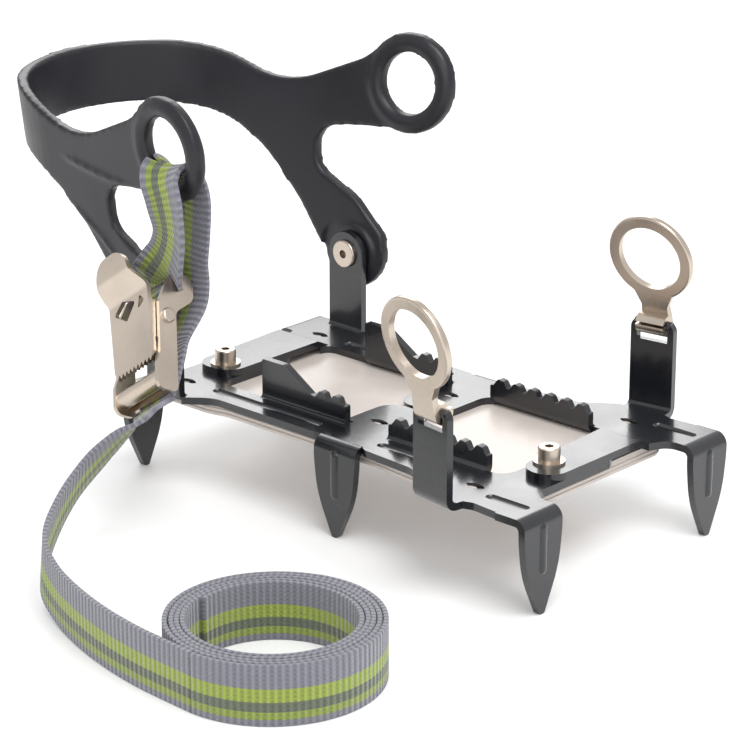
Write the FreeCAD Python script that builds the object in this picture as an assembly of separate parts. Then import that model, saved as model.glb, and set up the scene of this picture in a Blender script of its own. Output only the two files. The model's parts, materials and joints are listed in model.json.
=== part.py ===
"""Six-point instep crampon with ankle harness, ring posts and a cam-lever strap.  Millimetres.

+X points to the toe, +Y to the wearer's left, +Z up.  The origin is the middle of the boot rest:
z = 0 is the top face of the side plates.  side = -1 is the right plate, side = +1 the left one.
"""
import FreeCAD, Part
import math
import os

V = FreeCAD.Vector
os.makedirs("parts", exist_ok=True)

# ---- driving dimensions -------------------------------------------------------------------
SHEET = 2.5               # steel of the side plates
POINT_LENGTH = 33.0       # plate top to the tip of each point
POINT_WIDTH = 18.0
BEND = 4.0                # outer radius of every fold
RAIL_INNER = 26.5         # window edge of each rail, from the middle plane
WAIST = 38.5              # outer edge of a rail between its nodes
NODE_REAR = 46.0          # outer edge at the rear node
NODE_MIDDLE = 41.5        # outer face of the middle points
NODE_FRONT = 56.0         # outer face of the ring posts at the front
REAR_END = -93.0          # outer face of the rear points
FRONT_END = 89.0          # outer face of the front points
MIDDLE_X = 1.0
REAR_POINT_Y = 38.5       # middle of the corner points, from the middle plane
FRONT_POINT_Y = 42.0

REAR_ARM = (-85.0, -66.0)
MIDDLE_ARM = (-11.0, 9.0)
FRONT_ARM = (60.0, 76.0)
ARM_REACH = 22.5          # a left arm ends this far beyond the middle plane
LOWER_REACH = 12.0        # a right arm ends this far beyond it, under the left arm
BRIDGE_GAP = 2.0          # between the two middle arms
ARM_TAPER = 0.12          # the rear edge of a left arm narrows by this share of its width
JOGGLE = 5.0              # length of the step that lifts a left arm

REAR_BOLT = (-73.5, -16.5)
FRONT_BOLT = (66.5, -12.5)
BOLT = 2.5                # radius of the adjuster bolts
BOLT_CLEARANCE = 0.25

PIVOT_X = -73.5           # harness pivot
PIVOT_Z = 28.0
REAR_POST_WIDTH = 15.5
RIVET = 3.0               # radius of the pivot rivet
RUNNING_FIT = 0.06        # radial clearance of anything that turns
WASHER = 0.8

RING_X = 55.0             # middle of the ring posts
RING_TURN = 8.0           # the ring posts follow the flare of the plate
FRONT_POST_WIDTH = 16.0
POST_TOP = 30.4
BAR = 1.6                 # radius of the bar that a ring hangs on
SLOT_WIDTH = 11.4
SLOT_HEIGHT = 5.6
EYE_WALL = 1.9
EYE_WIDTH = 10.4
RING_OUTER = 15.2
RING_INNER = 11.3
RING_SHEET = 2.4
RING_DROP = 24.0          # hinge to ring centre
RIGHT_LEAN = 11.0         # both rings rest leaning to the right
LEFT_LEAN = 14.0

TRAY_SHEET = 1.4          # anti-balling plate
TRAY_DEPTH = 4.6
TRAY_RIM = 1.6

HARNESS = 3.8             # wall of the moulded harness
HEEL_X = -118.0           # centre of the heel bend
FLARE = 8.0               # the sides open towards the toe
LEAN = 6.0                # and lean outwards going up
LOOP_X = -55.5
LOOP_Z = 90.3
LOOP_OUTER = 17.5
LOOP_INNER = 10.8
LEG_END = 13.0            # radius of the leg's rounded end

WEB = 1.5                 # strap thickness
WEB_WIDTH = 19.0
STRAP_GAP = 0.4           # strap to whatever it passes
LOOP_WIDTH = (0.99, -0.14, 0)   # the strap lies along the loop's wall
ROLL_CENTRE = (59.0, -128.5)
ROLL_OUTER = 32.6
ROLL_INNER = 23.8
FLOOR = -POINT_LENGTH

BUCKLE_CENTRE = V(-55.1, -70.4, 32.6)
BUCKLE_TILT = 35.0        # the pin's axis, up from the toe direction
BUCKLE_LEAN = -28.0       # its top leans in towards the harness leg
BUCKLE_SHEET = 1.5
BUCKLE_WIDTH = 26.0       # over the cheeks
BUCKLE_GAP = 0.4          # lever to cheek
CHEEK_DEPTH = 6.5
FRAME_BOTTOM = -26.0
LEVER_BOTTOM = -15.5
LEVER_TOP = 23.5
LEVER_OPEN = 4.0          # the closed lever stands this far off the frame
PIN = 1.5
BAR_RADIUS = 1.3
BAR_Y = 5.8
BAR_Z = 11.8
ROLLER = 3.0
ROLLER_Y = -1.4
ROLLER_Z = -21.0


# ---- helpers ---------------------------------------------------------------------------------
def rounded_wire(corners, place):
    """Closed wire through (u, v, radius) corners; place turns (u, v) into a vector."""
    edges = []
    count = len(corners)
    ends = []
    for i, (u, v, radius) in enumerate(corners):
        here = V(u, v, 0)
        before = V(*corners[i - 1][:2], 0) - here
        after = V(*corners[(i + 1) % count][:2], 0) - here
        half = before.getAngle(after) / 2
        if radius <= 0 or abs(half - math.pi / 2) < 1e-4:
            ends.append((here, None, here))
            continue
        cut = radius / math.tan(half)
        start = here + before.normalize() * cut
        stop = here + after.normalize() * cut
        middle_way = (start + stop) * 0.5 - here
        reach = radius / math.sin(half) - radius
        ends.append((start, here + middle_way.normalize() * reach, stop))
    for i, (start, middle, stop) in enumerate(ends):
        if middle is not None:
            edges.append(Part.Arc(place(start), place(middle), place(stop)).toShape())
        following = ends[(i + 1) % count][0]
        if (following - stop).Length > 1e-6:
            edges.append(Part.LineSegment(place(stop), place(following)).toShape())
    return Part.Wire(edges)


def flat(corners, z0, height):
    wire = rounded_wire(corners, lambda p: V(p.x, p.y, z0))
    return Part.Face(wire).extrude(V(0, 0, height))


def upright(corners, y0, depth):
    """Outline in (x, z), extruded along y."""
    wire = rounded_wire(corners, lambda p: V(p.x, y0, p.y))
    return Part.Face(wire).extrude(V(0, depth, 0))


def sideways(corners, x0, width):
    """Outline in (y, z), extruded along x."""
    wire = rounded_wire(corners, lambda p: V(x0, p.x, p.y))
    return Part.Face(wire).extrude(V(width, 0, 0))


def box(x0, x1, y0, y1, z0, z1):
    return Part.makeBox(x1 - x0, y1 - y0, z1 - z0, V(x0, y0, z0))


def rod(radius, start, stop):
    axis = stop - start
    return Part.makeCylinder(radius, axis.Length, start, axis)


def tube(outer, inner, start, stop):
    overrun = (stop - start).normalize()
    return rod(outer, start, stop).cut(rod(inner, start - overrun, stop + overrun))


def join(shapes):
    whole = shapes[0].fuse(shapes[1:]) if len(shapes) > 1 else shapes[0]
    return whole.removeSplitter()


def turned(shape, degrees, centre=V(0, 0, 0), axis=V(0, 0, 1)):
    copy = shape.copy()
    copy.rotate(centre, axis, degrees)
    return copy


def moved(shape, x, y, z=0.0):
    copy = shape.copy()
    copy.translate(V(x, y, z))
    return copy


def save(name, shape):
    solids = shape.Solids
    good = shape.isValid() and all(s.isValid() for s in solids)
    print(f"{name}: {len(solids)} solid(s), {shape.Volume:.0f} mm3, valid {good}")
    result = solids[0] if len(solids) == 1 else Part.makeCompound(solids)
    result.exportStep(f"parts/{name}.step")


# ---- side plates -----------------------------------------------------------------------------
def point():
    """A spike folded down from an edge; the fold runs along x, its outer face at y = 0."""
    leg = 12.0
    fold = [
        (-leg, -SHEET, 0), (-leg, 0, 0), (0, 0, BEND),
        (0, -POINT_LENGTH, 0), (-SHEET, -POINT_LENGTH, 0), (-SHEET, -SHEET, BEND - SHEET),
    ]
    half = POINT_WIDTH / 2
    shoulder = POINT_LENGTH * 0.57
    blade = [
        (-half, 1, 0), (half, 1, 0), (half, -POINT_LENGTH * 0.2, 40), (half * 0.85, -shoulder, 38),
        (1.0, -POINT_LENGTH, 0.8), (-1.0, -POINT_LENGTH, 0.8), (-half * 0.85, -shoulder, 38),
        (-half, -POINT_LENGTH * 0.2, 40),
    ]
    body = sideways(fold, -half, POINT_WIDTH).common(upright(blade, -leg - 1, leg + 3))
    rib = 2.3
    top = V(0, 0.8 - rib, -POINT_LENGTH * 0.14)
    bottom = V(0, 0.8 - rib, -POINT_LENGTH * 0.55)
    ribs = [rod(rib, top, bottom), Part.makeSphere(rib, top), Part.makeSphere(rib, bottom)]
    behind = box(-half, half, -leg - 8, -SHEET / 2, -POINT_LENGTH, 0)
    return join([body, join(ribs).cut(behind)])


def post(width, top, corner):
    """A tab folded up from an edge, its outer face at y = 0."""
    leg = 8.0
    fold = [
        (-leg, -SHEET, 0), (0, -SHEET, BEND), (0, top, 0),
        (-SHEET, top, 0), (-SHEET, 0, BEND - SHEET), (-leg, 0, 0),
    ]
    half = width / 2
    face = [(-half, -SHEET - 1, 0), (half, -SHEET - 1, 0), (half, top, corner), (-half, top, corner)]
    return sideways(fold, -half, width).common(upright(face, -leg - 1, leg + 2))


def ring_post():
    """Front post with the slot and round bar that carry a strap ring."""
    body = post(FRONT_POST_WIDTH, POST_TOP, 3.5)
    bar_z = POST_TOP - BAR
    slot = box(-SLOT_WIDTH / 2, SLOT_WIDTH / 2, -SHEET - 1, 1, bar_z - SLOT_HEIGHT, POST_TOP + 1)
    bar = rod(BAR, V(-SLOT_WIDTH / 2 - 1, -SHEET / 2, bar_z), V(SLOT_WIDTH / 2 + 1, -SHEET / 2, bar_z))
    return join([body.cut(slot), bar])


def harness_post():
    body = post(REAR_POST_WIDTH, PIVOT_Z + REAR_POST_WIDTH / 2, REAR_POST_WIDTH / 2 - 0.05)
    return body.cut(rod(RIVET, V(0, -SHEET - 1, PIVOT_Z), V(0, 1, PIVOT_Z)))


def toothed_flange(x0, x1, profile):
    """Upright grip edge along a window; its inner face at y = 0, the rail behind it at y > 0."""
    leg = 5.0
    fold = [
        (0, -SHEET, BEND), (0, 20, 0), (SHEET, 20, 0), (SHEET, 0, BEND - SHEET),
        (leg, 0, 0), (leg, -SHEET, 0),
    ]
    outline = [(x0, -SHEET - 1, 0), *profile, (x1, -SHEET - 1, 0)]
    return sideways(fold, x0, x1 - x0).common(upright(outline, -1, leg + 2))


def teeth(x0, pitch, count, peak, valley):
    """Rounded saw teeth as outline corners, running towards +X."""
    corners = []
    for i in range(count):
        x = x0 + pitch * i
        corners.append((x + pitch * 0.12, valley, 0.5))
        corners.append((x + pitch * 0.42, peak, 1.1))
        corners.append((x + pitch * 0.78, peak - 0.5, 1.1))
        corners.append((x + pitch * 0.95, valley, 0.5))
    return corners


def rear_flange():
    x0 = -46.0
    x1 = MIDDLE_ARM[0] + 3.0
    pitch = 6.4
    start = x1 - pitch * 2 - 1.6
    profile = [(x0, 13.5, 0.8), (x0 + 10.5, 13.5, 3), (start - 1.5, 6.4, 1), *teeth(start, pitch, 2, 8.6, 6.0)]
    return toothed_flange(x0, x1, [*profile, (x1, 6.0, 0.5)])


def front_flange():
    x0 = MIDDLE_ARM[1] + 2.0
    x1 = FRONT_ARM[0] - 7.0
    pitch = (x1 - x0 - 1.0) / 6
    return toothed_flange(x0, x1, [(x0, 5.0, 0.8), *teeth(x0 + 0.5, pitch, 6, 7.6, 5.0), (x1, 5.0, 0.5)])


def leaf(x, y, length=7.4, width=3.6):
    """Pointed oval hole: two arcs."""
    left = V(x - length / 2, y, -SHEET - 2)
    right = V(x + length / 2, y, -SHEET - 2)
    up = Part.Arc(left, V(x, y + width / 2, -SHEET - 2), right).toShape()
    down = Part.Arc(right, V(x, y - width / 2, -SHEET - 2), left).toShape()
    return Part.Face(Part.Wire([up, down])).extrude(V(0, 0, SHEET + 4))


def groove(start, stop, depth=0.9, radius=2.4):
    """Round-ended pressed channel in the top face."""
    a = V(start[0], start[1], radius - depth)
    b = V(stop[0], stop[1], radius - depth)
    return join([rod(radius, a, b), Part.makeSphere(radius, a), Part.makeSphere(radius, b)])


def clip_places(side):
    return [(-75.5, side * 32.5), (-1.0, side * 17.5), (58.5, side * 38.5)]


def rail(side):
    """Flat part of one side plate without its arms, outline in (x, distance out)."""
    half_post = FRONT_POST_WIDTH / 2
    half_point = POINT_WIDTH / 2
    outline = [
        (REAR_END + BEND, REAR_POINT_Y - half_point, 1), (REAR_END + BEND, REAR_POINT_Y + half_point, 1),
        (REAR_END + 9, NODE_REAR, 3), (PIVOT_X + REAR_POST_WIDTH / 2, NODE_REAR - 0.5, 5),
        (-57, WAIST, 10), (MIDDLE_X - half_point - 2, WAIST, 4), (MIDDLE_X - half_point, NODE_MIDDLE - BEND, 1),
        (MIDDLE_X + half_point, NODE_MIDDLE - BEND, 1), (MIDDLE_X + half_point + 2, WAIST + 1.0, 4),
        (35, WAIST + 2.5, 12), (RING_X - half_post - 1, NODE_FRONT - 7, 2),
        (RING_X + half_post, NODE_FRONT - 5, 2), (RING_X + half_post + 4, 49.5, 3),
        (FRONT_END - BEND, FRONT_POINT_Y + half_point, 1), (FRONT_END - BEND, FRONT_POINT_Y - half_point, 1),
        (FRONT_ARM[1] + 3, FRONT_POINT_Y - half_point, 5), (FRONT_ARM[1], RAIL_INNER, 0),
        (REAR_ARM[0], RAIL_INNER, 0), (REAR_ARM[0], REAR_POINT_Y - half_point, 2),
    ]
    corners = [(x, side * out, radius) for x, out, radius in outline]
    return flat(corners, -SHEET, SHEET)


def window_corner(x, toward, side, radius):
    """Fillet between a rail and an arm, so that each window has round corners."""
    y = side * RAIL_INNER
    corner = box(min(x, x + toward * radius), max(x, x + toward * radius),
                 min(y, y - side * radius), max(y, y - side * radius), -SHEET, 0)
    centre = V(x + toward * radius, y - side * radius, 0)
    return corner.cut(rod(radius, centre - V(0, 0, SHEET + 1), centre + V(0, 0, 1)))


def arm(span, side, reach):
    """Flat cross arm from the rail to the far side of the middle plane."""
    root = side * (RAIL_INNER + 3)
    tip = -side * reach
    radius = 7.0
    x0, x1 = span
    return flat([(x0, root, 0), (x1, root, 0), (x1, tip, radius), (x0, tip, radius)], -SHEET, SHEET)


def lifted_arm(span):
    """Left arm: a short step up, then a flat tongue that lies on the right arm."""
    x0, x1 = span
    root = RAIL_INNER + 2
    step = RAIL_INNER - JOGGLE
    rise = sideways([(root, -SHEET, 0), (root, 0, 0), (RAIL_INNER, 0, 1.5), (step, SHEET, 1.5),
                     (step - 2, SHEET, 0), (step - 2, 0, 0), (step, 0, 1), (RAIL_INNER, -SHEET, 1)],
                    x0, x1 - x0)
    tip = x0 + (x1 - x0) * ARM_TAPER
    tongue = flat([(x0, step, 0), (x1, step, 0), (x1, -ARM_REACH, 7), (tip, -ARM_REACH, 7)], 0, SHEET)
    return join([rise, tongue])


def side_plate(side):
    half_post = REAR_POST_WIDTH / 2
    under_post = upright([(PIVOT_X - half_post, -SHEET - 1, 0), (PIVOT_X + half_post, -SHEET - 1, 0),
                          (PIVOT_X + half_post, 1, 0), (PIVOT_X - half_post, 1, 0)],
                         side * (NODE_REAR - BEND), side * (BEND + 1))
    shapes = [rail(side)]
    for span in (REAR_ARM, FRONT_ARM):
        shapes.append(lifted_arm(span) if side > 0 else arm(span, side, LOWER_REACH))
    shapes.append(arm(MIDDLE_ARM, side, -BRIDGE_GAP / 2))
    for x, toward in ((REAR_ARM[1], 1), (MIDDLE_ARM[0], -1), (MIDDLE_ARM[1], 1), (FRONT_ARM[0], -1)):
        lifted = side > 0 and x in (REAR_ARM[1], FRONT_ARM[0])
        shapes.append(window_corner(x, toward, side, JOGGLE - 1 if lifted else JOGGLE + 1))
    facing = 0 if side > 0 else 180
    shapes.append(moved(turned(point(), facing), MIDDLE_X, side * NODE_MIDDLE))
    shapes.append(moved(turned(point(), -90), FRONT_END, side * FRONT_POINT_Y))
    shapes.append(moved(turned(point(), 90), REAR_END, side * REAR_POINT_Y))
    shapes = [join(shapes).cut(under_post)]
    shapes.append(moved(turned(harness_post(), facing), PIVOT_X, side * NODE_REAR))
    shapes.append(moved(turned(ring_post(), facing + side * RING_TURN), RING_X, side * NODE_FRONT))
    for flange in (rear_flange(), front_flange()):
        placed = flange if side > 0 else flange.mirror(V(0, 0, 0), V(0, 1, 0))
        shapes.append(moved(placed, 0, side * (RAIL_INNER - SHEET)))
    body = join(shapes)
    relief = upright([(MIDDLE_ARM[0] - 2, -SHEET - 1, 0), (MIDDLE_ARM[0] + 3.8, -SHEET - 1, 0),
                      (MIDDLE_ARM[0] + 3.8, 0, 0), (MIDDLE_ARM[0] - 2, 0, 0)],
                     side * (RAIL_INNER - SHEET - 0.8), side * 1.15)
    body = body.cut(relief)
    for x, y in clip_places(side):
        body = body.cut(leaf(x, y))
    for a, b in ((-61, -15), (14, 36)):
        body = body.cut(groove((a, side * 32.5), (b, side * 32.5)))
    body = body.cut(groove((68, side * FRONT_POINT_Y), (81, side * FRONT_POINT_Y)))
    for x, y in (REAR_BOLT, FRONT_BOLT):
        body = body.cut(rod(BOLT + BOLT_CLEARANCE, V(x, y, -SHEET - 1), V(x, y, SHEET + 1)))
    return body.removeSplitter()


# ---- anti-balling plate and adjusters -------------------------------------------------------------
def tray_outline(inset):
    rear = NODE_REAR - 9
    half = [
        (REAR_ARM[0] + 2, rear, 5), (-62, rear, 10), (-54, WAIST - 3.5, 10), (-12, WAIST - 3.5, 10),
        (14, WAIST - 3.5, 10), (44, WAIST, 10), (FRONT_ARM[1] - 3, WAIST, 5),
    ]
    upper = [(x, y - inset, r) for x, y, r in half]
    first = upper[0]
    last = upper[-1]
    upper[0] = (first[0] + inset, first[1], first[2])
    upper[-1] = (last[0] - inset, last[1], last[2])
    return [*upper, *[(x, -y, r) for x, y, r in reversed(upper)]]


def anti_balling_plate():
    top = -SHEET
    sheet = flat(tray_outline(0), top - TRAY_SHEET, TRAY_SHEET)
    skirt = flat(tray_outline(0), top - TRAY_DEPTH, TRAY_DEPTH)
    hollow = flat(tray_outline(TRAY_RIM), top - TRAY_DEPTH - 1, TRAY_DEPTH + 2)
    rims = [skirt.cut(hollow)]
    for z in (top - 2.0, top - 3.4):
        line = flat(tray_outline(-0.35), z - 0.45, 0.45).cut(flat(tray_outline(0.5), z - 1, 2))
        rims.append(line)
    body = join([sheet, *rims])
    for x, y in (REAR_BOLT, FRONT_BOLT):
        body = body.cut(rod(BOLT + BOLT_CLEARANCE, V(x, y, top - 4), V(x, y, top + 1)))
    return body


def clips():
    """Push-in clips: a leaf-shaped plug in each hole and a foot under the tray."""
    shapes = []
    for side in (-1, 1):
        for x, y in clip_places(side):
            plug = leaf(x - 1.4, y, 3.9, 2.6).common(box(x - 9, x + 9, y - 9, y + 9, -SHEET, -1.0))
            shapes.append(plug)
    return shapes


def place_bolts(builder):
    return Part.makeCompound([moved(builder(), x, y) for x, y in (REAR_BOLT, FRONT_BOLT)])


def bolt():
    seat = SHEET + WASHER
    head = rod(3.6, V(0, 0, seat), V(0, 0, seat + 4.6))
    head = head.makeFillet(0.5, [e for e in head.Edges if e.BoundBox.ZMin > seat + 4])
    hexagon = Part.makePolygon([V(1.6 * math.cos(a), 1.6 * math.sin(a), seat + 2)
                                for a in [math.pi / 3 * i for i in range(7)]])
    socket = Part.Face(Part.Wire(hexagon)).extrude(V(0, 0, 5))
    shank = rod(BOLT, V(0, 0, -SHEET - TRAY_SHEET - 5.4), V(0, 0, seat))
    return join([head.cut(socket), shank])


def nut():
    top = -SHEET - TRAY_SHEET
    across = 4.5
    ring = [V(across * math.cos(math.pi / 3 * i), across * math.sin(math.pi / 3 * i), top - 4)
            for i in range(7)]
    body = Part.Face(Part.Wire(Part.makePolygon(ring))).extrude(V(0, 0, 4))
    body = body.common(Part.makeCone(across * 0.9, across * 1.1, 4.2, V(0, 0, top - 4.2)))
    return body.cut(rod(BOLT, V(0, 0, top - 5), V(0, 0, top + 1)))


def washer():
    return tube(5.2, BOLT, V(0, 0, SHEET), V(0, 0, SHEET + WASHER))


# ---- strap rings -------------------------------------------------------------------------------
def strap_ring(side, lean):
    """Flat ring, neck and eye, built about the bar's axis and then placed at its post."""
    inner = BAR + RUNNING_FIT
    outer = inner + EYE_WALL
    eye = tube(outer, inner, V(-EYE_WIDTH / 2, 0, 0), V(EYE_WIDTH / 2, 0, 0))
    eye = eye.cut(box(-EYE_WIDTH, EYE_WIDTH, -outer - 1, -0.6, 0.9, 1.8))
    plane = outer - RING_SHEET
    neck = upright([(-EYE_WIDTH / 2, 0, 0), (-EYE_WIDTH / 2 + 0.5, 6, 2), (-8.5, 14, 0), (8.5, 14, 0),
                    (EYE_WIDTH / 2 - 0.5, 6, 2), (EYE_WIDTH / 2, 0, 0)], plane, RING_SHEET)
    disc = rod(RING_OUTER, V(0, plane, RING_DROP), V(0, plane + RING_SHEET, RING_DROP))
    hole = rod(RING_INNER, V(0, plane - 1, RING_DROP), V(0, plane + RING_SHEET + 1, RING_DROP))
    edges = [e for e in disc.Edges if e.Length > 60]
    body = join([eye, neck.cut(rod(inner, V(-9, 0, 0), V(9, 0, 0))), disc.makeFillet(0.7, edges)])
    body = body.cut(hole)
    body = turned(body, -lean, V(0, 0, 0), V(1, 0, 0))
    if side < 0:
        body = turned(body, 180)
    body = turned(body, side * RING_TURN)
    bar = turned(Part.Vertex(0, -side * SHEET / 2, 0), side * RING_TURN).Point
    return moved(body, RING_X + bar.x, side * NODE_FRONT + bar.y, POST_TOP - BAR)


# ---- ankle harness -------------------------------------------------------------------------------
def harness_half_width(z):
    """Middle of the wall at the pivot, at height z."""
    at_pivot = NODE_REAR + WASHER + HARNESS / 2
    return at_pivot + (z - PIVOT_Z) * math.tan(math.radians(LEAN))


def harness_ring(z):
    """Closed U outline of the wall at height z."""
    flare = math.radians(FLARE)
    radius = harness_half_width(z) * math.cos(flare) - (PIVOT_X - HEEL_X) * math.sin(flare)
    edges = []
    corners = []
    for r in (radius + HARNESS / 2, radius - HARNESS / 2):
        tangent = V(HEEL_X - r * math.sin(flare), r * math.cos(flare), z)
        run = (-30 - tangent.x) / math.cos(flare)
        end = tangent + V(math.cos(flare), math.sin(flare), 0) * run
        corners.append((tangent, end, V(HEEL_X - r, 0, z)))

    def mirrored(p):
        return V(p.x, -p.y, p.z)

    (out_a, out_b, out_back), (in_a, in_b, in_back) = corners
    edges.append(Part.LineSegment(out_b, out_a).toShape())
    edges.append(Part.Arc(out_a, out_back, mirrored(out_a)).toShape())
    edges.append(Part.LineSegment(mirrored(out_a), mirrored(out_b)).toShape())
    edges.append(Part.LineSegment(mirrored(out_b), mirrored(in_b)).toShape())
    edges.append(Part.LineSegment(mirrored(in_b), mirrored(in_a)).toShape())
    edges.append(Part.Arc(mirrored(in_a), in_back, in_a).toShape())
    edges.append(Part.LineSegment(in_a, in_b).toShape())
    edges.append(Part.LineSegment(in_b, out_b).toShape())
    return Part.Wire(edges)


def harness_profile():
    """Side view: heel band, arm with its loop, and leg down to the pivot."""
    reach = 90.0
    band = upright([
        (-185, 95, 0), (-142, 93.5, 90), (-108, 82.5, 40), (-74, 97, 22), (-61, 108, 3), (-50, 96, 0),
        (-52, 80, 0), (-57, 74.3, 0), (-78, 72.5, 0), (-92.5, 70, 8), (-91, 55.5, 8), (-74, 47, 14),
        (-60.5, 34, 6), (-62, 28, 0), (-86, 27, 0), (-97, 42, 50), (-112, 58, 50), (-132, 69, 60),
        (-155, 72.5, 90), (-185, 73.5, 0),
    ], -reach, 2 * reach)
    loop = rod(LOOP_OUTER, V(LOOP_X, -reach, LOOP_Z), V(LOOP_X, reach, LOOP_Z))
    end = rod(LEG_END, V(PIVOT_X, -reach, PIVOT_Z), V(PIVOT_X, reach, PIVOT_Z))
    hole = rod(LOOP_INNER, V(LOOP_X, -reach - 1, LOOP_Z), V(LOOP_X, reach + 1, LOOP_Z))
    return join([band, loop, end]).cut(hole)


def ankle_harness():
    wall = Part.makeLoft([harness_ring(12), harness_ring(115)], True, True)
    body = wall.common(harness_profile())
    inner = NODE_REAR + WASHER
    bosses = []
    for side in (-1, 1):
        a = V(PIVOT_X, side * inner, PIVOT_Z)
        b = V(PIVOT_X, side * (inner + HARNESS + 0.6), PIVOT_Z)
        bosses.append(rod(9.5, a, b))
    body = join([body, *bosses])
    seat = rod(LEG_END + 0.5, V(PIVOT_X, -inner, PIVOT_Z), V(PIVOT_X, inner, PIVOT_Z))
    body = body.cut(seat)
    for side in (-1, 1):
        face = side * (inner + HARNESS + 0.6)
        body = body.cut(rod(7.0, V(PIVOT_X, face, PIVOT_Z), V(PIVOT_X, face + side * 5, PIVOT_Z)))
    hole = rod(RIVET + RUNNING_FIT, V(PIVOT_X, -90, PIVOT_Z), V(PIVOT_X, 90, PIVOT_Z))
    return body.cut(hole)


def on_both_sides(builder):
    return Part.makeCompound([builder(side) for side in (-1, 1)])


def pivot_rivet(side):
    """Hollow rivet through post, washer and harness boss; its head is inside."""
    inside = NODE_REAR - SHEET
    outside = NODE_REAR + WASHER + HARNESS + 0.6 + RUNNING_FIT
    axis = V(0, side, 0)
    centre = V(PIVOT_X, 0, PIVOT_Z)
    shank = rod(RIVET, centre + axis * inside, centre + axis * (outside + WASHER))
    head = rod(5.0, centre + axis * (inside - 1.3), centre + axis * inside)
    head = head.makeFillet(0.6, [head.Edges[i] for i in range(len(head.Edges)) if
                                 abs(abs(head.Edges[i].CenterOfMass.y) - (inside - 1.3)) < 0.01])
    bore = rod(1.5, centre + axis * (inside - 3), centre + axis * (outside + WASHER + 3))
    return join([shank, head]).cut(bore)


def inner_washer(side):
    axis = V(0, side, 0)
    centre = V(PIVOT_X, 0, PIVOT_Z)
    return tube(6.5, RIVET, centre + axis * NODE_REAR, centre + axis * (NODE_REAR + WASHER - RUNNING_FIT))


def outer_washer(side):
    start = NODE_REAR + WASHER + HARNESS + 0.6 + RUNNING_FIT
    axis = V(0, side, 0)
    centre = V(PIVOT_X, 0, PIVOT_Z)
    return tube(6.0, RIVET, centre + axis * start, centre + axis * (start + WASHER))


# ---- strap buckle: built upright about its pin, then tilted into place ------------------------------
# local axes: x along the pin, -y away from the boot, z up the buckle; the pin is at the origin


def buckle_place(shape):
    body = turned(shape, BUCKLE_LEAN, V(0, 0, 0), V(1, 0, 0))
    body = turned(body, -BUCKLE_TILT, V(0, 0, 0), V(0, 1, 0))
    body.translate(BUCKLE_CENTRE)
    return body


def in_buckle(y, z, x=0):
    """A point of the buckle in the part's frame."""
    return tuple(buckle_place(Part.Vertex(x, y, z)).Point)


def cheek_outline():
    front = -CHEEK_DEPTH / 2
    back = CHEEK_DEPTH / 2
    ear = 4.3
    return [
        (back, FRAME_BOTTOM, 2), (front - 1.3, FRAME_BOTTOM, 3), (front - 1.3, -17, 2), (front, -13, 2),
        (front, 5, 4), (BAR_Y - ear, BAR_Z + ear, 4), (BAR_Y + ear, BAR_Z + ear, 4), (BAR_Y + ear, BAR_Z - ear, 4), (back, 2, 3),
    ]


def buckle_frame():
    """Two cheeks of sheet steel joined by a back plate at the bottom, behind the roller."""
    half = BUCKLE_WIDTH / 2
    outline = [(-half + 0.5, FRAME_BOTTOM + 1.5, 1), (half - 0.5, FRAME_BOTTOM + 1.5, 1),
               (half - 0.5, LEVER_BOTTOM - 1.8, 1), (-half + 0.5, LEVER_BOTTOM - 1.8, 1)]
    back = upright(outline, CHEEK_DEPTH / 2 - BUCKLE_SHEET, BUCKLE_SHEET)
    left = sideways(cheek_outline(), -half, BUCKLE_SHEET)
    right = sideways(cheek_outline(), half - BUCKLE_SHEET, BUCKLE_SHEET)
    return join([back, left, right]).cut(rod(PIN, V(-half - 1, 0, 0), V(half + 1, 0, 0)))


def lever_half_width():
    return BUCKLE_WIDTH / 2 - BUCKLE_SHEET - BUCKLE_GAP


def lever_plate():
    """Bent lever plate before it is tilted: serrated edge at the bottom, thumb tab at the top."""
    half = lever_half_width()
    count = 9
    pitch = 2 * (half - 1.5) / count
    serrations = []
    for i in range(count):
        serrations.append((-half + 1.5 + pitch * i, LEVER_BOTTOM, 0))
        serrations.append((-half + 1.5 + pitch * (i + 0.5), LEVER_BOTTOM + 1.6, 0))
    outline = [
        (half - 1.5, LEVER_BOTTOM, 0), (half, LEVER_BOTTOM + 3, 0.8), (half, 12, 2), (half - 2.0, 16, 1.5),
        (half - 3.2, LEVER_TOP, 7.0), (-half + 3.2, LEVER_TOP, 7.0), (-half + 2.0, 16, 1.5), (-half, 12, 2),
        (-half, LEVER_BOTTOM + 3, 0.8), *serrations,
    ]
    t = BUCKLE_SHEET
    section = [
        (0, LEVER_BOTTOM - 1, 0), (0, 10.5, 3.0), (-5.5, 15.5, 3.5), (-6.5, LEVER_TOP + 1, 0),
        (t - 6.5, LEVER_TOP + 1, 0), (t - 5.5, 16.2, 2.0), (t, 11.2, 4.5), (t, LEVER_BOTTOM - 1, 0),
    ]
    plate = sideways(section, -half - 1, 2 * half + 2).common(upright(outline, -10, 14))
    diamond = upright([(-8.6, 6.6, 0.8), (-1.6, 2.2, 0.8), (4.0, 7.4, 0.8), (-3.4, 9.9, 0.8)], -1, 4)
    small = upright([(4.8, 3.8, 0.6), (9.0, 6.0, 0.6), (6.4, 8.8, 0.6)], -1, 4)
    return plate.cut(diamond).cut(small)


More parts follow.
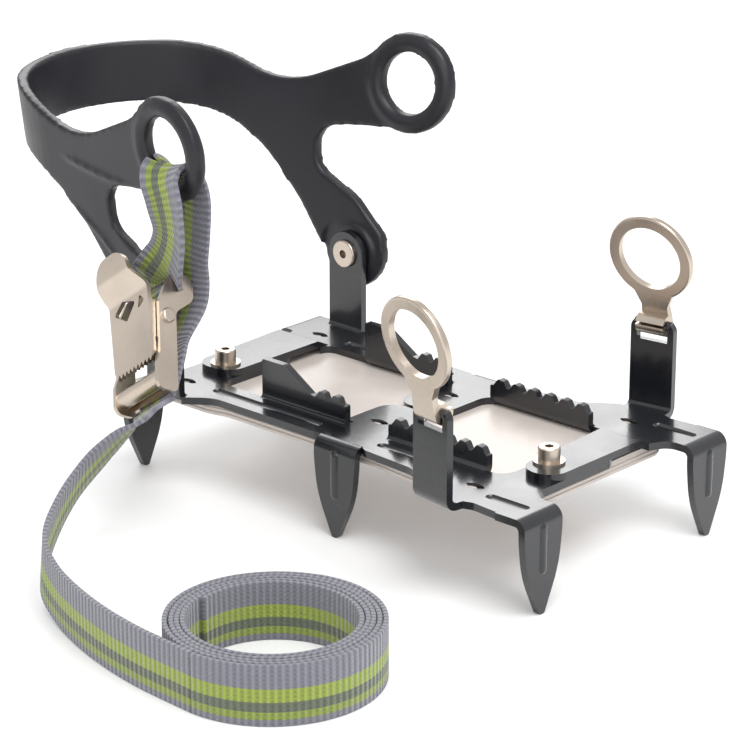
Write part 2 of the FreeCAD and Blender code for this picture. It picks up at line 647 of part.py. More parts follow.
def buckle_lever():
    """Cam lever: its two ears ride on the pin."""
    half = lever_half_width()
    front = -CHEEK_DEPTH / 2 - BUCKLE_SHEET
    slope = math.tan(math.radians(LEVER_OPEN))
    plate = moved(turned(lever_plate(), LEVER_OPEN, V(0, 0, LEVER_BOTTOM), V(1, 0, 0)), 0, front)
    low = front + BUCKLE_SHEET / 2 - (-8 - LEVER_BOTTOM) * slope
    high = front + BUCKLE_SHEET / 2 - (6 - LEVER_BOTTOM) * slope
    outline = [(low, -8, 0), (high, 6, 0), (-1, 4.5, 2), (2.6, 2.6, 2.2), (2.6, -2.6, 2.2), (0, -5.0, 2)]
    ears = [sideways(outline, x, BUCKLE_SHEET) for x in (-half, half - BUCKLE_SHEET)]
    body = join([plate, *ears])
    return body.cut(rod(PIN + RUNNING_FIT, V(-half - 1, 0, 0), V(half + 1, 0, 0)))


def buckle_pin():
    half = BUCKLE_WIDTH / 2
    heads = []
    for side in (-1, 1):
        head = rod(2.5, V(side * half, 0, 0), V(side * (half + 1.3), 0, 0))
        rim = [e for e in head.Edges if abs(abs(e.CenterOfMass.x) - half - 1.3) < 0.01 and e.Length > 10]
        heads.append(head.makeFillet(0.8, rim))
    return join([rod(PIN, V(-half, 0, 0), V(half, 0, 0)), *heads])


def buckle_bar():
    """Round bar between the tops of the cheeks; the sewn strap loop turns round it."""
    half = BUCKLE_WIDTH / 2 - BUCKLE_SHEET
    return rod(BAR_RADIUS, V(-half, BAR_Y, BAR_Z), V(half, BAR_Y, BAR_Z))


def buckle_spring():
    """Turns of wire round the pin beside each ear."""
    inner = BUCKLE_WIDTH / 2 - 2 * BUCKLE_SHEET - BUCKLE_GAP
    coils = []
    for side in (-1, 1):
        for i in range(4):
            x = side * (inner - 0.7 - 0.95 * i)
            coils.append(Part.makeTorus(PIN + 0.45, 0.45, V(x, 0, 0), V(1, 0, 0)))
    return Part.makeCompound(coils)


def buckle_roller():
    """Drum at the bottom of the buckle that the strap turns round."""
    half = BUCKLE_WIDTH / 2 - BUCKLE_SHEET
    core = rod(ROLLER, V(-half, ROLLER_Y, ROLLER_Z), V(half, ROLLER_Y, ROLLER_Z))
    return core.cut(rod(ROLLER - BUCKLE_SHEET, V(-half - 1, ROLLER_Y, ROLLER_Z), V(half + 1, ROLLER_Y, ROLLER_Z)))


# ---- strap -------------------------------------------------------------------------------------
def ribbon(route):
    """Flat band through (centre, width direction, face direction) sections.

    With None for the face direction, the face is square to the way the band runs.
    """
    wires = []
    last = len(route) - 1
    for i, (centre, across, face) in enumerate(route):
        c = V(*centre)
        if face is None:
            run = V(*route[min(i + 1, last)][0]) - V(*route[max(i - 1, 0)][0])
            face = run.cross(V(*across))
        w = V(*across).normalize() * (WEB_WIDTH / 2)
        n = V(*face)
        n = (n - w * (n.dot(w) / w.dot(w))).normalize() * (WEB / 2)
        wires.append(Part.makePolygon([c + w + n, c - w + n, c - w - n, c + w - n, c + w + n]))
    solids = []
    for a, b in zip(wires, wires[1:]):
        solids.append(Part.makeLoft([Part.Wire(a), Part.Wire(b)], True, True))
    return join(solids)


def buckle_width():
    """Direction of the buckle's pin."""
    tilt = math.radians(BUCKLE_TILT)
    return (math.cos(tilt), 0, math.sin(tilt))


def loop_crossing():
    """Where the strap lies across the wall in the right loop; both strands end here."""
    z = LOOP_Z - math.sqrt(LOOP_INNER ** 2 - (WEB_WIDTH / 2) ** 2) + WEB / 2 + STRAP_GAP
    out = harness_half_width(z) + (LOOP_X - PIVOT_X) * math.tan(math.radians(FLARE))
    return (LOOP_X, -out, z), LOOP_WIDTH, (0, 0, 1)


def strap_front_strand():
    """From the buckle's bar up the outside of the harness and into its loop."""
    bar_front = in_buckle(BAR_Y - BAR_RADIUS - STRAP_GAP - WEB / 2, BAR_Z)
    route = [
        (bar_front, buckle_width(), None),
        (in_buckle(BAR_Y - 2.6, BAR_Z + 5.5, 1.5), buckle_width(), None),
        ((-53.3, -61.6, 53.5), (0.97, -0.10, 0.25), None),
        ((-49.8, -62.2, 63.5), (0.98, -0.15, 0.1), None),
        ((-51.2, -62.4, 75.0), LOOP_WIDTH, None),
        ((-54.8, -62.0, 83.0), LOOP_WIDTH, None),
        ((-55.4, -60.3, 86.2), LOOP_WIDTH, None),
        loop_crossing(),
    ]
    return ribbon(route)


def strap_back_strand():
    """From the loop down inside the harness, behind the buckle and round its lower end."""
    route = [
        loop_crossing(),
        ((-55.2, -54.0, 86.2), LOOP_WIDTH, None),
        ((-54.4, -51.8, 83.0), LOOP_WIDTH, None),
        ((-53.8, -50.6, 77.0), LOOP_WIDTH, None),
        ((-54.3, -51.0, 64.0), (0.98, -0.10, 0.1), None),
        ((-54.6, -51.8, 52.0), (0.97, -0.05, 0.2), None),
        ((-53.6, -52.1, 44.0), (0.95, 0, 0.3), None),
        ((-52.0, -54.8, 36.0), (0.88, 0, 0.45), None),
        (in_buckle(10.6, -3), buckle_width(), None),
        (in_buckle(7.8, -13), buckle_width(), None),
        (in_buckle(CHEEK_DEPTH / 2 + STRAP_GAP + WEB / 2, FRAME_BOTTOM - 0.3), buckle_width(), None),
        tail_start(),
    ]
    return ribbon(route)


def tail_start():
    """Below the buckle's lower end, where the back strand becomes the free tail."""
    place = in_buckle(1.0, FRAME_BOTTOM - STRAP_GAP - WEB - 0.5)
    return place, buckle_width(), (0.506, -0.469, -0.723)


def strap_tail():
    """From the buckle down to the floor and up to the roll, which it touches."""
    route = [
        tail_start(),
        ((-42.5, -87.0, 8.5), (0.78, -0.05, 0.62), None),
        ((-46.0, -94.0, 2.8), (0.60, -0.05, 0.80), None),
        ((-47.6, -107.0, -6.0), (0.40, 0.02, 0.90), None),
        ((-42.0, -123.0, -14.0), (0.20, 0.05, 0.97), None),
        ((-30.0, -139.0, -19.5), (0.05, 0.05, 0.99), None),
        ((-14.0, -147.5, -22.0), (0, 0, 1), None),
        ((9.0, -155.6, -23.0), (0, 0, 1), None),
        ((33.0, -160.6, -23.3), (0, 0, 1), None),
        ((ROLL_CENTRE[0], ROLL_CENTRE[1] - ROLL_OUTER - WEB / 2, -23.4), (0, 0, 1), (0, -1, 0)),
    ]
    return ribbon(route)


def strap_roll():
    x, y = ROLL_CENTRE
    return tube(ROLL_OUTER, ROLL_INNER, V(x, y, FLOOR), V(x, y, FLOOR + WEB_WIDTH))


# ---- write the nodes --------------------------------------------------------------------------------
save("right_side_plate", side_plate(-1))
save("left_side_plate", side_plate(1))
save("anti_balling_plate", anti_balling_plate())
save("anti_balling_clips", Part.makeCompound(clips()))
save("adjuster_bolts", place_bolts(bolt))
save("adjuster_washers", place_bolts(washer))
save("adjuster_nuts", place_bolts(nut))
save("right_strap_ring", strap_ring(-1, RIGHT_LEAN))
save("left_strap_ring", strap_ring(1, -LEFT_LEAN))
save("ankle_harness", ankle_harness())
save("harness_rivets", on_both_sides(pivot_rivet))
save("harness_inner_washers", on_both_sides(inner_washer))
save("harness_outer_washers", on_both_sides(outer_washer))
for name, builder in (("buckle_frame", buckle_frame), ("buckle_lever", buckle_lever), ("buckle_pin", buckle_pin),
                      ("buckle_bar", buckle_bar), ("buckle_spring", buckle_spring),
                      ("buckle_roller", buckle_roller)):
    save(name, buckle_place(builder()))
save("strap_front_strand", strap_front_strand())
save("strap_back_strand", strap_back_strand())
save("strap_tail", strap_tail())
save("strap_roll", strap_roll())
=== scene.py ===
# %% [markdown]
# # An instep crampon, finished in Blender
#
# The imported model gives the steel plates, the rings, the buckle and the moulded harness at their
# real sizes.  This lesson loads it as a fixed frame, sets up a studio, gives every metal and
# plastic its finish, and then makes the pieces that a plain solid cannot show: the woven strap
# with its stripes, its stitched end and its roll, and the softly rounded harness.
#
# All lengths are in metres.  +X points to the toe, +Y to the wearer's left and +Z up.

# %% Load the frame
import json
import math

import bpy
import numpy as np
from mathutils import Matrix, Vector


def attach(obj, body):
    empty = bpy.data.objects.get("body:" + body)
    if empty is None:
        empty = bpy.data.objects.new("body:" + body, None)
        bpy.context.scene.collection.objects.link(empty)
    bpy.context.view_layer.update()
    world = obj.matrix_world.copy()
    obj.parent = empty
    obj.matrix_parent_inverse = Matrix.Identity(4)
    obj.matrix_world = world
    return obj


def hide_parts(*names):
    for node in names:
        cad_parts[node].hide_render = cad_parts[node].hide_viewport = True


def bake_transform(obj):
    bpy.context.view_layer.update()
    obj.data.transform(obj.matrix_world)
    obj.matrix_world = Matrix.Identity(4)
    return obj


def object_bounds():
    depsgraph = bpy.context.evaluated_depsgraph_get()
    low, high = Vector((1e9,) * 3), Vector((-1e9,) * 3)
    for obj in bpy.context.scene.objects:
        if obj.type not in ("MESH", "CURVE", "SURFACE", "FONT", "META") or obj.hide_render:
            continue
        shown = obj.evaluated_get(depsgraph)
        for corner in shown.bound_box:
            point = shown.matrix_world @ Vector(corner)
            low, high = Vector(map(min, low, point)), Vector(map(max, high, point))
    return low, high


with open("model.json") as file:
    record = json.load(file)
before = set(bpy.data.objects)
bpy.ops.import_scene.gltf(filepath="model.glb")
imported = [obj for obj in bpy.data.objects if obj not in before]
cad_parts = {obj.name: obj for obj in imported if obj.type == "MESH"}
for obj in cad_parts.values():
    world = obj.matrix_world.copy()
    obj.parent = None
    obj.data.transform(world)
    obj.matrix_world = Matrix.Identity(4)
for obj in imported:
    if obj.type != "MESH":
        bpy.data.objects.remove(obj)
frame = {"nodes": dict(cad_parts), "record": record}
cad_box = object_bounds()
FLOOR = cad_box[0][2]
print("floor height:", round(FLOOR, 4))


def deselect():
    """Operators act on all that is selected, so each step starts with nothing selected."""
    bpy.ops.object.select_all(action="DESELECT")


def pick(obj):
    """Make one object the selected and active one."""
    deselect()
    obj.select_set(True)
    bpy.context.view_layer.objects.active = obj


# %% [markdown]
# ## Camera
#
# The camera looks down at the toe end from the right, about 20 degrees above the ground and a
# metre away.  A long lens at that distance keeps the far points nearly as large as the near
# ones.  Its three axes are written as the columns of a matrix, which is easier to reason about
# than three turns in a row.

# %% Camera
CAMERA_RIGHT = Vector((0.7361, 0.6769, 0.0))
CAMERA_UP = Vector((-0.2304, 0.2506, 0.9403))
CAMERA_BACK = Vector((0.6365, -0.6922, 0.3404))
CAMERA_PLACE = Vector((0.6235, -0.6989, 0.3509))

deselect()
bpy.ops.object.camera_add(location=CAMERA_PLACE)
camera = bpy.context.object
axes = Matrix((CAMERA_RIGHT, CAMERA_UP, CAMERA_BACK)).transposed()
camera.rotation_euler = axes.to_euler()
camera.data.sensor_width = 36.0
camera.data.lens = 144.96
camera.data.clip_end = 20.0
bpy.context.scene.camera = camera
print("camera at", tuple(round(v, 3) for v in camera.location))

# %% [markdown]
# ## Studio
#
# Dark glossy steel shows little of its own colour: what is seen is what it reflects.  A pale
# floor and a pale surround give the grey sheen on the flat tops, and three large soft lights
# draw the bright edges along the bends.

# %% Floor and lights
def plain_material(name, colour, roughness):
    material = bpy.data.materials.new(name)
    material.use_nodes = True
    shader = material.node_tree.nodes["Principled BSDF"]
    shader.inputs["Base Color"].default_value = (*colour, 1.0)
    shader.inputs["Roughness"].default_value = roughness
    return material


deselect()
bpy.ops.mesh.primitive_plane_add(size=12.0, location=(0, 0, FLOOR))
floor = bpy.context.object
floor.name = "studio_floor"
floor.data.materials.append(plain_material("studio_paper", (0.90, 0.90, 0.90), 0.9))


def soft_light(name, place, target, size, power, colour=(1, 1, 1)):
    """A square area light that faces its target."""
    deselect()
    bpy.ops.object.light_add(type="AREA", location=place)
    light = bpy.context.object
    light.name = name
    light.data.size = size
    light.data.energy = power
    light.data.color = colour
    facing = Vector(target) - Vector(place)
    light.rotation_euler = facing.to_track_quat("-Z", "Y").to_euler()
    return light


soft_light("key", (0.5, -0.2, 1.1), (0, 0, 0), 0.7, 9.0)
soft_light("fill", (0.9, -1.3, 0.7), (0, -0.05, 0), 0.9, 5.0)
soft_light("back", (-0.9, 0.8, 0.8), (0, 0, 0), 0.8, 7.0)

world = bpy.context.scene.world or bpy.data.worlds.new("studio")
bpy.context.scene.world = world
world.use_nodes = True
world.node_tree.nodes["Background"].inputs["Color"].default_value = (1.0, 1.0, 1.0, 1.0)
world.node_tree.nodes["Background"].inputs["Strength"].default_value = 0.85
bpy.context.scene.view_settings.view_transform = "Standard"

# %% [markdown]
# ## Finishes
#
# Every finish is a small node tree on Object coordinates.  Because each piece keeps its origin at
# the frame's origin, one scale number means the same grain size on all of them.  A noise drives a
# bump for the grain and, through a ramp, slight changes of gloss, so that no surface is one flat
# value.

# %% A helper for grained finishes
def grained(name, colours, metallic, gloss, grain, bump, stretch=(1, 1, 1)):
    """Principled finish: two colours mixed by a broad noise, gloss from low to high, fine grain bump."""
    material = bpy.data.materials.new(name)
    material.use_nodes = True
    nodes = material.node_tree.nodes
    links = material.node_tree.links
    shader = nodes["Principled BSDF"]
    shader.inputs["Metallic"].default_value = metallic
    coords = nodes.new("ShaderNodeTexCoord")
    mapping = nodes.new("ShaderNodeMapping")
    mapping.inputs["Scale"].default_value = stretch
    links.new(coords.outputs["Object"], mapping.inputs["Vector"])

    broad = nodes.new("ShaderNodeTexNoise")
    broad.inputs["Scale"].default_value = 45.0
    broad.inputs["Detail"].default_value = 4.0
    links.new(mapping.outputs["Vector"], broad.inputs["Vector"])
    tint = nodes.new("ShaderNodeValToRGB")
    tint.color_ramp.elements[0].position = 0.3
    tint.color_ramp.elements[0].color = (*colours[0], 1)
    tint.color_ramp.elements[1].position = 0.7
    tint.color_ramp.elements[1].color = (*colours[1], 1)
    links.new(broad.outputs["Fac"], tint.inputs["Fac"])
    links.new(tint.outputs["Color"], shader.inputs["Base Color"])

    rough = nodes.new("ShaderNodeMapRange")
    rough.inputs["From Min"].default_value = 0.3
    rough.inputs["From Max"].default_value = 0.7
    rough.inputs["To Min"].default_value = gloss[0]
    rough.inputs["To Max"].default_value = gloss[1]
    links.new(broad.outputs["Fac"], rough.inputs["Value"])
    links.new(rough.outputs["Result"], shader.inputs["Roughness"])

    fine = nodes.new("ShaderNodeTexNoise")
    fine.inputs["Scale"].default_value = grain
    fine.inputs["Detail"].default_value = 3.0
    links.new(mapping.outputs["Vector"], fine.inputs["Vector"])
    relief = nodes.new("ShaderNodeBump")
    relief.inputs["Strength"].default_value = bump
    relief.inputs["Distance"].default_value = 0.0002
    links.new(fine.outputs["Fac"], relief.inputs["Height"])
    links.new(relief.outputs["Normal"], shader.inputs["Normal"])
    return material


# %% [markdown]
# ### Steel, nickel, elastomer and polymer
#
# The plates are pressed steel with a hard blue-black coat: a dark base under a glossy clear layer.
# Rings, buckle, bolts and rivets are nickel plated, which is a little warmer than plain steel.
# The harness is a satin black elastomer and the tray a pale beige plastic.

# %% The four finishes
blackened_steel = grained("blackened_steel", ((0.0055, 0.0062, 0.0085), (0.0095, 0.0105, 0.0140)), 0.0,
                          (0.20, 0.32), 900.0, 0.12)
blackened_steel.node_tree.nodes["Principled BSDF"].inputs["Coat Weight"].default_value = 0.5
blackened_steel.node_tree.nodes["Principled BSDF"].inputs["Coat Roughness"].default_value = 0.12
nickel = grained("nickel_plate", ((0.50, 0.43, 0.36), (0.62, 0.54, 0.46)), 1.0, (0.22, 0.36), 1400.0, 0.10)
elastomer = grained("satin_elastomer", ((0.0055, 0.0048, 0.0085), (0.0090, 0.0078, 0.0130)), 0.0,
                    (0.36, 0.48), 2200.0, 0.18)
polymer = grained("beige_polymer", ((0.56, 0.50, 0.46), (0.64, 0.58, 0.54)), 0.0, (0.30, 0.42), 1200.0, 0.15)

FINISHES = {
    "blackened_steel": blackened_steel,
    "nickel_steel": nickel,
    "black_elastomer": elastomer,
    "beige_polymer": polymer,
}
for part in frame["record"]["subparts"]:
    finish = FINISHES.get(part["material_slot"])
    if finish:
        mesh = frame["nodes"][part["node"]].data
        mesh.materials.clear()
        mesh.materials.append(finish)
print("finishes set on", len(frame["nodes"]), "nodes")

# %% [markdown]
# ## Webbing
#
# The strap is 19 mm woven webbing, grey with green stripes along it.  A strap is a thin strip that
# bends easily across its face and hardly at all in its own plane, so each length is a strip of
# quads laid along a smooth line.  The strip keeps its own map: U runs along the strap in metres
# and V across it from 0 to 1, and the finish reads that map, so that the stripes and the weave
# follow every bend and twist.

# %% The striped weave
STRIPES = [
    (0.00, (0.205, 0.205, 0.245)), (0.38, (0.290, 0.370, 0.055)), (0.60, (0.120, 0.140, 0.095)),
    (0.76, (0.250, 0.320, 0.055)), (0.88, (0.205, 0.205, 0.245)),
]
RIB_PITCH = 0.0021


def math_node(nodes, operation, value=None):
    node = nodes.new("ShaderNodeMath")
    node.operation = operation
    if value is not None:
        node.inputs[1].default_value = value
    return node


def woven(name):
    """Stripes by V, ribs across the strap by U, yarns along it by V, and a little fuzz."""
    material = bpy.data.materials.new(name)
    material.use_nodes = True
    nodes = material.node_tree.nodes
    links = material.node_tree.links
    shader = nodes["Principled BSDF"]
    shader.inputs["Roughness"].default_value = 0.78
    shader.inputs["Sheen Weight"].default_value = 0.35
    shader.inputs["Sheen Roughness"].default_value = 0.5

    coords = nodes.new("ShaderNodeUVMap")
    coords.uv_map = "weave"
    parts = nodes.new("ShaderNodeSeparateXYZ")
    links.new(coords.outputs["UV"], parts.inputs["Vector"])

    stripes = nodes.new("ShaderNodeValToRGB")
    ramp = stripes.color_ramp
    ramp.interpolation = "CONSTANT"
    while len(ramp.elements) < len(STRIPES):
        ramp.elements.new(0.5)
    for stop, (place, colour) in zip(ramp.elements, STRIPES):
        stop.position = place
        stop.color = (*colour, 1)
    links.new(parts.outputs["Y"], stripes.inputs["Fac"])

    turns = math_node(nodes, "MULTIPLY", 2 * math.pi / RIB_PITCH)
    ribs = math_node(nodes, "SINE")
    links.new(parts.outputs["X"], turns.inputs[0])
    links.new(turns.outputs["Value"], ribs.inputs[0])
    across = math_node(nodes, "MULTIPLY", 2 * math.pi * 14)
    yarns = math_node(nodes, "SINE")
    links.new(parts.outputs["Y"], across.inputs[0])
    links.new(across.outputs["Value"], yarns.inputs[0])
    cells = math_node(nodes, "MULTIPLY")
    links.new(ribs.outputs["Value"], cells.inputs[0])
    links.new(yarns.outputs["Value"], cells.inputs[1])
    weave = math_node(nodes, "MULTIPLY_ADD", 0.35)
    links.new(cells.outputs["Value"], weave.inputs[0])
    links.new(ribs.outputs["Value"], weave.inputs[2])

    shade = nodes.new("ShaderNodeMapRange")
    shade.inputs["From Min"].default_value = -1.3
    shade.inputs["From Max"].default_value = 1.3
    shade.inputs["To Min"].default_value = 0.62
    shade.inputs["To Max"].default_value = 1.12
    links.new(weave.outputs["Value"], shade.inputs["Value"])
    mixed = nodes.new("ShaderNodeVectorMath")
    mixed.operation = "SCALE"
    links.new(stripes.outputs["Color"], mixed.inputs["Vector"])
    links.new(shade.outputs["Result"], mixed.inputs["Scale"])
    links.new(mixed.outputs["Vector"], shader.inputs["Base Color"])

    relief = nodes.new("ShaderNodeBump")
    relief.inputs["Strength"].default_value = 0.7
    relief.inputs["Distance"].default_value = 0.0004
    links.new(weave.outputs["Value"], relief.inputs["Height"])
    links.new(relief.outputs["Normal"], shader.inputs["Normal"])
    return material


webbing_finish = woven("striped_webbing")

# %% [markdown]
# ### A length of webbing
#
# The route gives a few places, each with the direction of the strap's width there.  A
# Catmull-Rom curve passes through every place without corners.  At each step along it the width
# is made square to the way the strap runs, and the strip may be cupped a little, as webbing is
# when it is pulled through a round hole.

# %% A strip of quads along a smooth line
WIDTH = 0.019
THICKNESS = 0.0015


def smooth(points, step):
    """Catmull-Rom through the rows of points; the first three columns are places."""
    rows = np.array(points, float)
    rows = np.vstack([2 * rows[0] - rows[1], rows, 2 * rows[-1] - rows[-2]])
    out = []
    for a, b, c, d in zip(rows, rows[1:], rows[2:], rows[3:]):
        count = max(2, int(np.linalg.norm(c[:3] - b[:3]) / step))
        for t in np.arange(count) / count:
            out.append(0.5 * (2 * b + (c - a) * t + (2 * a - 5 * b + 4 * c - d) * t ** 2
                              + (3 * b - a - 3 * c + d) * t ** 3))
    out.append(rows[-2])
    return np.array(out)


def webbing(name, rows, body_parts, start=0.0, columns=9, step=0.0015, sampled=False):
    """A strap: rows are (x, y, z, width x, y, z, cup), in metres; start is the strap length so far."""
    line = np.array(rows, float) if sampled else smooth(rows, step)
    places = line[:, :3]
    run = np.gradient(places, axis=0)
    run /= np.linalg.norm(run, axis=1)[:, None]
    width = line[:, 3:6] - run * np.sum(line[:, 3:6] * run, axis=1)[:, None]
    width /= np.linalg.norm(width, axis=1)[:, None]
    face = np.cross(run, width)
    along = np.concatenate([[0], np.cumsum(np.linalg.norm(np.diff(places, axis=0), axis=1))])
    across = np.linspace(0, 1, columns)
    vertices = []
    for p, w, f, cup in zip(places, width, face, line[:, 6]):
        bend = max(abs(cup), 1e-4)
        for v in across:
            angle = (0.5 - v) * bend
            radius = WIDTH / bend
            sideways = radius * math.sin(angle)
            sunk = radius * (1 - math.cos(angle)) * (1 if cup >= 0 else -1)
            vertices.append(p + w * sideways + f * sunk)
    faces = []
    for i in range(len(places) - 1):
        for j in range(columns - 1):
            k = i * columns + j
            faces.append((k, k + 1, k + columns + 1, k + columns))
    mesh = bpy.data.meshes.new(name)
    mesh.from_pydata([tuple(v) for v in vertices], [], faces)
    layer = mesh.uv_layers.new(name="weave")
    for loop in mesh.loops:
        i, j = divmod(loop.vertex_index, columns)
        layer.data[loop.index].uv = (start + along[i], across[j])
    strap = bpy.data.objects.new(name, mesh)
    bpy.context.scene.collection.objects.link(strap)
    mesh.materials.append(webbing_finish)
    pick(strap)
    bpy.ops.object.shade_smooth()
    solid = strap.modifiers.new("thickness", "SOLIDIFY")
    solid.thickness = THICKNESS
    solid.offset = 0.0
    edge = strap.modifiers.new("edge", "BEVEL")
    edge.width = 0.0004
    edge.segments = 2
    edge.limit_method = "ANGLE"
    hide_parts(*body_parts)
    print(name, "is", round(along[-1] * 1000), "mm long")
    return strap, start + along[-1]


# %% [markdown]
# ### The two strands at the buckle
#
# One end of the strap is sewn round a bar in the buckle.  From there it goes up the outside of
# the harness, over the rim of the round loop, and down again inside it to the buckle's lower
# end.  In the loop it is cupped, because the hole is barely wider than the strap.

# %% Front strand, loop and back strand
BUCKLE = np.array((-0.0551, -0.0704, 0.0326))
BUCKLE_X = np.array((0.8192, 0.0, 0.5736))
BUCKLE_Y = np.array((0.2693, 0.8829, -0.3846))
BUCKLE_Z = np.array((-0.5064, 0.4695, 0.7233))
LOOP_ALONG = (0.99, -0.14, 0.0)


def in_buckle(y, z, x=0.0):
    """Millimetres on the buckle's own axes to a place in metres."""
    return tuple(BUCKLE + (BUCKLE_X * x + BUCKLE_Y * y + BUCKLE_Z * z) / 1000)


def row(place, across, cup=0.0):
    return (*place, *across, cup)


def mm(x, y, z):
    return (x / 1000, y / 1000, z / 1000)


BAR_Y, BAR_Z = 5.8, 11.8
sewn_turn = []
for degrees in (-60, -20, 30, 80, 130, 180):
    angle = math.radians(degrees)
    sewn_turn.append(row(in_buckle(BAR_Y + 2.2 * math.cos(angle), BAR_Z - 2.2 * math.sin(angle)), BUCKLE_X))
front_rows = [
    row(in_buckle(BAR_Y + 1.0, BAR_Z + 15.5, 3.2), (0.93, -0.05, 0.35)),
    row(in_buckle(BAR_Y + 0.6, BAR_Z + 9.5, 1.6), BUCKLE_X),
    *sewn_turn[1:],
    row(in_buckle(BAR_Y - 2.0, BAR_Z + 5.5, 1.2), BUCKLE_X, -0.2),
    row(mm(-53.6, -61.4, 53.5), (0.95, -0.16, 0.25), -0.5),
    row(mm(-50.2, -62.0, 63.5), (0.96, -0.25, 0.05), -0.7),
    row(mm(-51.6, -62.2, 73.5), LOOP_ALONG, -0.8),
    row(mm(-54.2, -61.7, 80.3), LOOP_ALONG, -0.8),
    row(mm(-55.2, -60.0, 83.6), LOOP_ALONG, -0.8),
]
loop_top = row(mm(-55.5, -57.6, 84.8), LOOP_ALONG, -0.8)
back_rows = [
    loop_top,
    row(mm(-55.2, -55.2, 83.6), LOOP_ALONG, -0.8),
    row(mm(-54.2, -52.4, 79.8), LOOP_ALONG, -0.7),
    row(mm(-53.4, -51.0, 73.0), LOOP_ALONG, -0.5),
    row(mm(-53.8, -51.2, 62.0), (0.98, -0.10, 0.1), -0.3),
    row(mm(-54.2, -51.9, 52.0), (0.97, -0.05, 0.2), -0.1),
    row(mm(-53.4, -52.3, 44.0), (0.95, 0, 0.3)),
    row(mm(-52.0, -54.8, 36.0), (0.88, 0, 0.45)),
    row(in_buckle(10.6, -3), BUCKLE_X),
    row(in_buckle(7.8, -13), BUCKLE_X),
    row(in_buckle(4.5, -24.0), BUCKLE_X),
    row(in_buckle(2.6, -27.4), BUCKLE_X),
    row(in_buckle(0.6, -28.4), BUCKLE_X),
]
front_strap, used = webbing("strap_front", [*front_rows, loop_top], ["strap_front_strand"])
back_strap, used = webbing("strap_back", back_rows, ["strap_back_strand"], start=used)
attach(front_strap, "harness")
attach(back_strap, "harness")

# %% [markdown]
# ### The free tail
#
# Below the buckle the strap leaves edge-on, turns over slowly as it falls and comes to stand on
# its edge on the ground.

# %% Tail
tail_rows = [
    row(in_buckle(2.6, -27.2), BUCKLE_X),
    row(in_buckle(0.6, -28.4), BUCKLE_X),
    row(mm(-42.5, -87.0, 8.5), (0.78, -0.05, 0.62)),
    row(mm(-46.0, -94.0, 2.8), (0.60, -0.05, 0.80)),
    row(mm(-47.6, -107.0, -6.0), (0.40, 0.02, 0.90)),
    row(mm(-42.0, -123.0, -14.0), (0.20, 0.05, 0.97)),
    row(mm(-30.0, -139.0, -19.5), (0.05, 0.05, 0.99)),
    row(mm(-14.0, -148.0, -22.4), (0, 0, 1)),
    row(mm(9.0, -155.8, -23.3), (0, 0, 1)),
    row(mm(33.0, -160.4, -23.4), (0, 0, 1)),
    row(mm(59.0, -161.85, -23.45), (0, 0, 1)),
]
tail, used = webbing("strap_free_tail", tail_rows, ["strap_tail"], start=used, step=0.0025)
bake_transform(tail)

# %% [markdown]
# ### The roll
#
# The rest of the strap is wound up and stands on its edge.  It is one spiral: each turn is a
# little more than the strap's thickness inside the last, so the layers show on top as fine rings
# and the inner end is seen as a step.

# %% Roll
ROLL_X, ROLL_Y, ROLL_Z = 0.0590, -0.1285, -0.02348
ROLL_START, ROLL_PITCH, ROLL_TURNS = 0.03335, 0.00176, 4.786
roll_rows = []
for degrees in np.arange(0, ROLL_TURNS * 360 + 0.1, 3.0):
    angle = math.radians(degrees - 90)
    loose = 0.00012 * math.sin(2.3 * angle) * (degrees > 200)
    radius = ROLL_START - ROLL_PITCH * degrees / 360 + loose
    lift = 0.00010 * math.sin(0.9 * angle + 1.0)
    place = (ROLL_X + radius * math.cos(angle), ROLL_Y + radius * math.sin(angle), ROLL_Z + max(lift, 0))
    roll_rows.append(row(place, (0, 0, 1)))
roll, used = webbing("strap_rolled_up", roll_rows, ["strap_roll"], start=used, columns=5, sampled=True)
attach(roll, "base")
print("whole strap:", round(used, 3), "m")

# %% [markdown]
# ### Stitches
#
# The sewn end is held by a row of thread.  Each stitch is a tiny bead of thread lying half in
# the weave.  The same bead is made at each place along the seam, each with its own mesh.

# %% Stitching on the sewn end
thread = grained("sewing_thread", ((0.16, 0.16, 0.19), (0.24, 0.24, 0.27)), 0.0, (0.6, 0.75), 3000.0, 0.2)


def stitch(place, along, normal):
    """A bead of thread, stretched the way the seam runs."""
    deselect()
    bpy.ops.mesh.primitive_uv_sphere_add(segments=8, ring_count=6, radius=0.00035, location=(0, 0, 0))
    bead = bpy.context.object
    bead.scale = (3.2, 1.0, 0.8)
    bpy.ops.object.transform_apply(location=False, rotation=False, scale=True)
    side = normal.cross(along).normalized()
    turn = Matrix((along.normalized(), side, normal.normalized())).transposed().to_4x4()
    bead.data.transform(Matrix.Translation(place) @ turn)
    return bead


SEAM_HALF = 7.5      # mm, half the length of the row of stitches
SEAM_DEPTH = 3.1     # mm, in front of the bar
SEAM_RISE = 3.4      # mm, above the bar
STITCHES = 7

beads = []
seam_normal = Vector(-BUCKLE_Y)
for k in range(STITCHES):
    across = -SEAM_HALF * (1 - k / 3.0)
    place = Vector(in_buckle(BAR_Y - SEAM_DEPTH, BAR_Z + SEAM_RISE, across))
    beads.append(stitch(place, Vector(BUCKLE_X), seam_normal))
deselect()
for bead in beads:
    bead.select_set(True)
bpy.context.view_layer.objects.active = beads[0]
bpy.ops.object.join()
stitches = bpy.context.object
stitches.name = "strap_stitches"
stitches.data.materials.append(thread)
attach(stitches, "harness")

# %% [markdown]
# ## The moulded harness
#
# A moulding has no sharp edges.  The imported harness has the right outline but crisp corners, so
# a copy of it is merged, given the raised collars round its two loops and the ridges along its
# arms and legs, remeshed into even small faces and smoothed.  The remesh melts all of them into
# one skin, as if they came out of one mould.

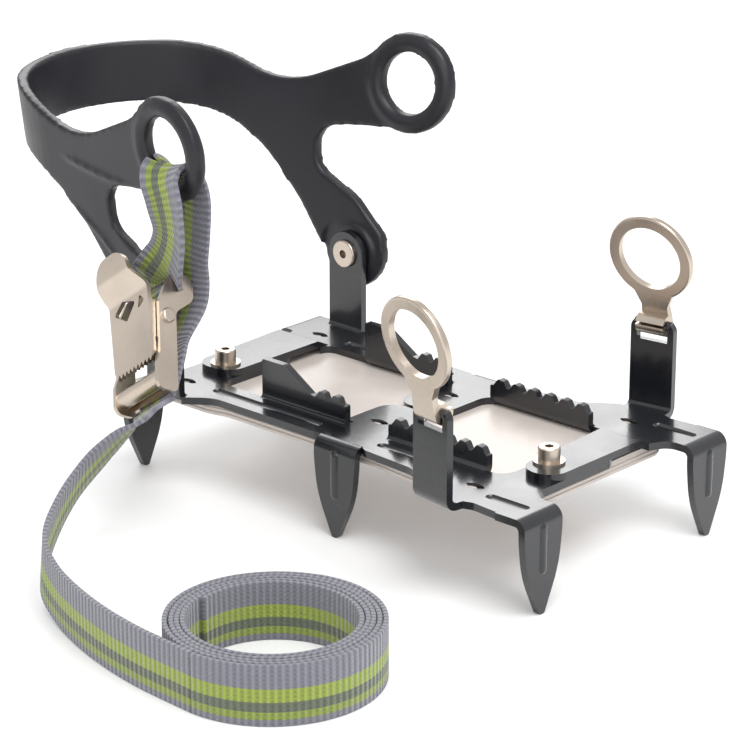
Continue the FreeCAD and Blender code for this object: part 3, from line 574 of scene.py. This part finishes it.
# %% Copy the harness and add collars
HARNESS_LEAN = math.tan(math.radians(6.0))
HARNESS_FLARE = math.tan(math.radians(8.0))
LOOP = (-0.0555, 0.0903)        # middle of a loop, in x and z
COLLAR_RADIUS = 0.01415
COLLAR_ROUND = 0.0033
COLLAR_FLATTEN = 0.95


def wall_y(x, z, depth=0.0):
    """Distance of the wall's middle from the middle plane, plus depth outwards."""
    return 0.0487 + (z - 0.028) * HARNESS_LEAN + (x + 0.0735) * HARNESS_FLARE + depth


deselect()
moulding = bpy.data.objects.new("harness_moulding", frame["nodes"]["ankle_harness"].data.copy())
bpy.context.scene.collection.objects.link(moulding)
pick(moulding)
bpy.ops.object.mode_set(mode="EDIT")
bpy.ops.mesh.select_all(action="SELECT")
bpy.ops.mesh.remove_doubles(threshold=0.00001)
bpy.ops.object.mode_set(mode="OBJECT")

extras = []
for side in (-1, 1):
    normal = Vector((-HARNESS_FLARE, side, -HARNESS_LEAN)).normalized()
    place = Vector((LOOP[0], side * wall_y(*LOOP), LOOP[1]))
    deselect()
    bpy.ops.mesh.primitive_torus_add(major_segments=72, minor_segments=24, major_radius=COLLAR_RADIUS,
                                     minor_radius=COLLAR_ROUND, location=(0, 0, 0))
    collar = bpy.context.object
    collar.scale = (1.0, 1.0, COLLAR_FLATTEN)
    bpy.ops.object.transform_apply(location=False, rotation=False, scale=True)
    collar.data.transform(Matrix.Translation(place) @ normal.to_track_quat("Z", "Y").to_matrix().to_4x4())
    extras.append(collar)


# %% Ridges along the arms and legs
def ridge(points, side, radius):
    """A tube half sunk in the outer face, through (x, z) places."""
    curve = bpy.data.curves.new("ridge", "CURVE")
    curve.dimensions = "3D"
    curve.bevel_depth = radius
    curve.bevel_resolution = 4
    curve.use_fill_caps = True
    spline = curve.splines.new("NURBS")
    spline.points.add(len(points) - 1)
    for knot, (x, z, sink) in zip(spline.points, points):
        y = side * wall_y(x / 1000, z / 1000, 0.0019 - sink / 1000)
        knot.co = (x / 1000, y, z / 1000, 1.0)
    spline.order_u = 3
    spline.use_endpoint_u = True
    tube = bpy.data.objects.new("ridge", curve)
    bpy.context.scene.collection.objects.link(tube)
    pick(tube)
    bpy.ops.object.convert(target="MESH")
    return bpy.context.object


ARM_RIDGE = [(-118, 75.6, 1.2), (-111, 74.6, 0.3), (-103, 73.9, 0.2), (-94, 73.2, 0.2), (-86, 73.0, 0.3),
             (-78, 73.4, 0.6), (-71, 74.2, 1.3)]
LEG_RIDGE = [(-118, 61.0, 1.2), (-111, 57.4, 0.3), (-104, 54.0, 0.2), (-96, 49.6, 0.2), (-88.5, 43.6, 0.3),
             (-82, 38.0, 1.2)]
for side in (-1, 1):
    extras.append(ridge(ARM_RIDGE, side, 0.0011))
    extras.append(ridge(LEG_RIDGE, side, 0.0010))

pick(moulding)
for extra in extras:
    extra.select_set(True)
bpy.ops.object.join()
remesh = moulding.modifiers.new("one_skin", "REMESH")
remesh.mode = "VOXEL"
remesh.voxel_size = 0.0008
bpy.ops.object.modifier_apply(modifier="one_skin")
soften = moulding.modifiers.new("soften", "SMOOTH")
soften.factor = 0.5
soften.iterations = 5
bpy.ops.object.modifier_apply(modifier="soften")
bpy.ops.object.shade_smooth()
moulding.data.materials.clear()
moulding.data.materials.append(elastomer)
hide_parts("ankle_harness")
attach(moulding, "harness")
print("harness faces:", len(moulding.data.polygons))

# %% [markdown]
# ## Finish

# %% Finish
deselect()
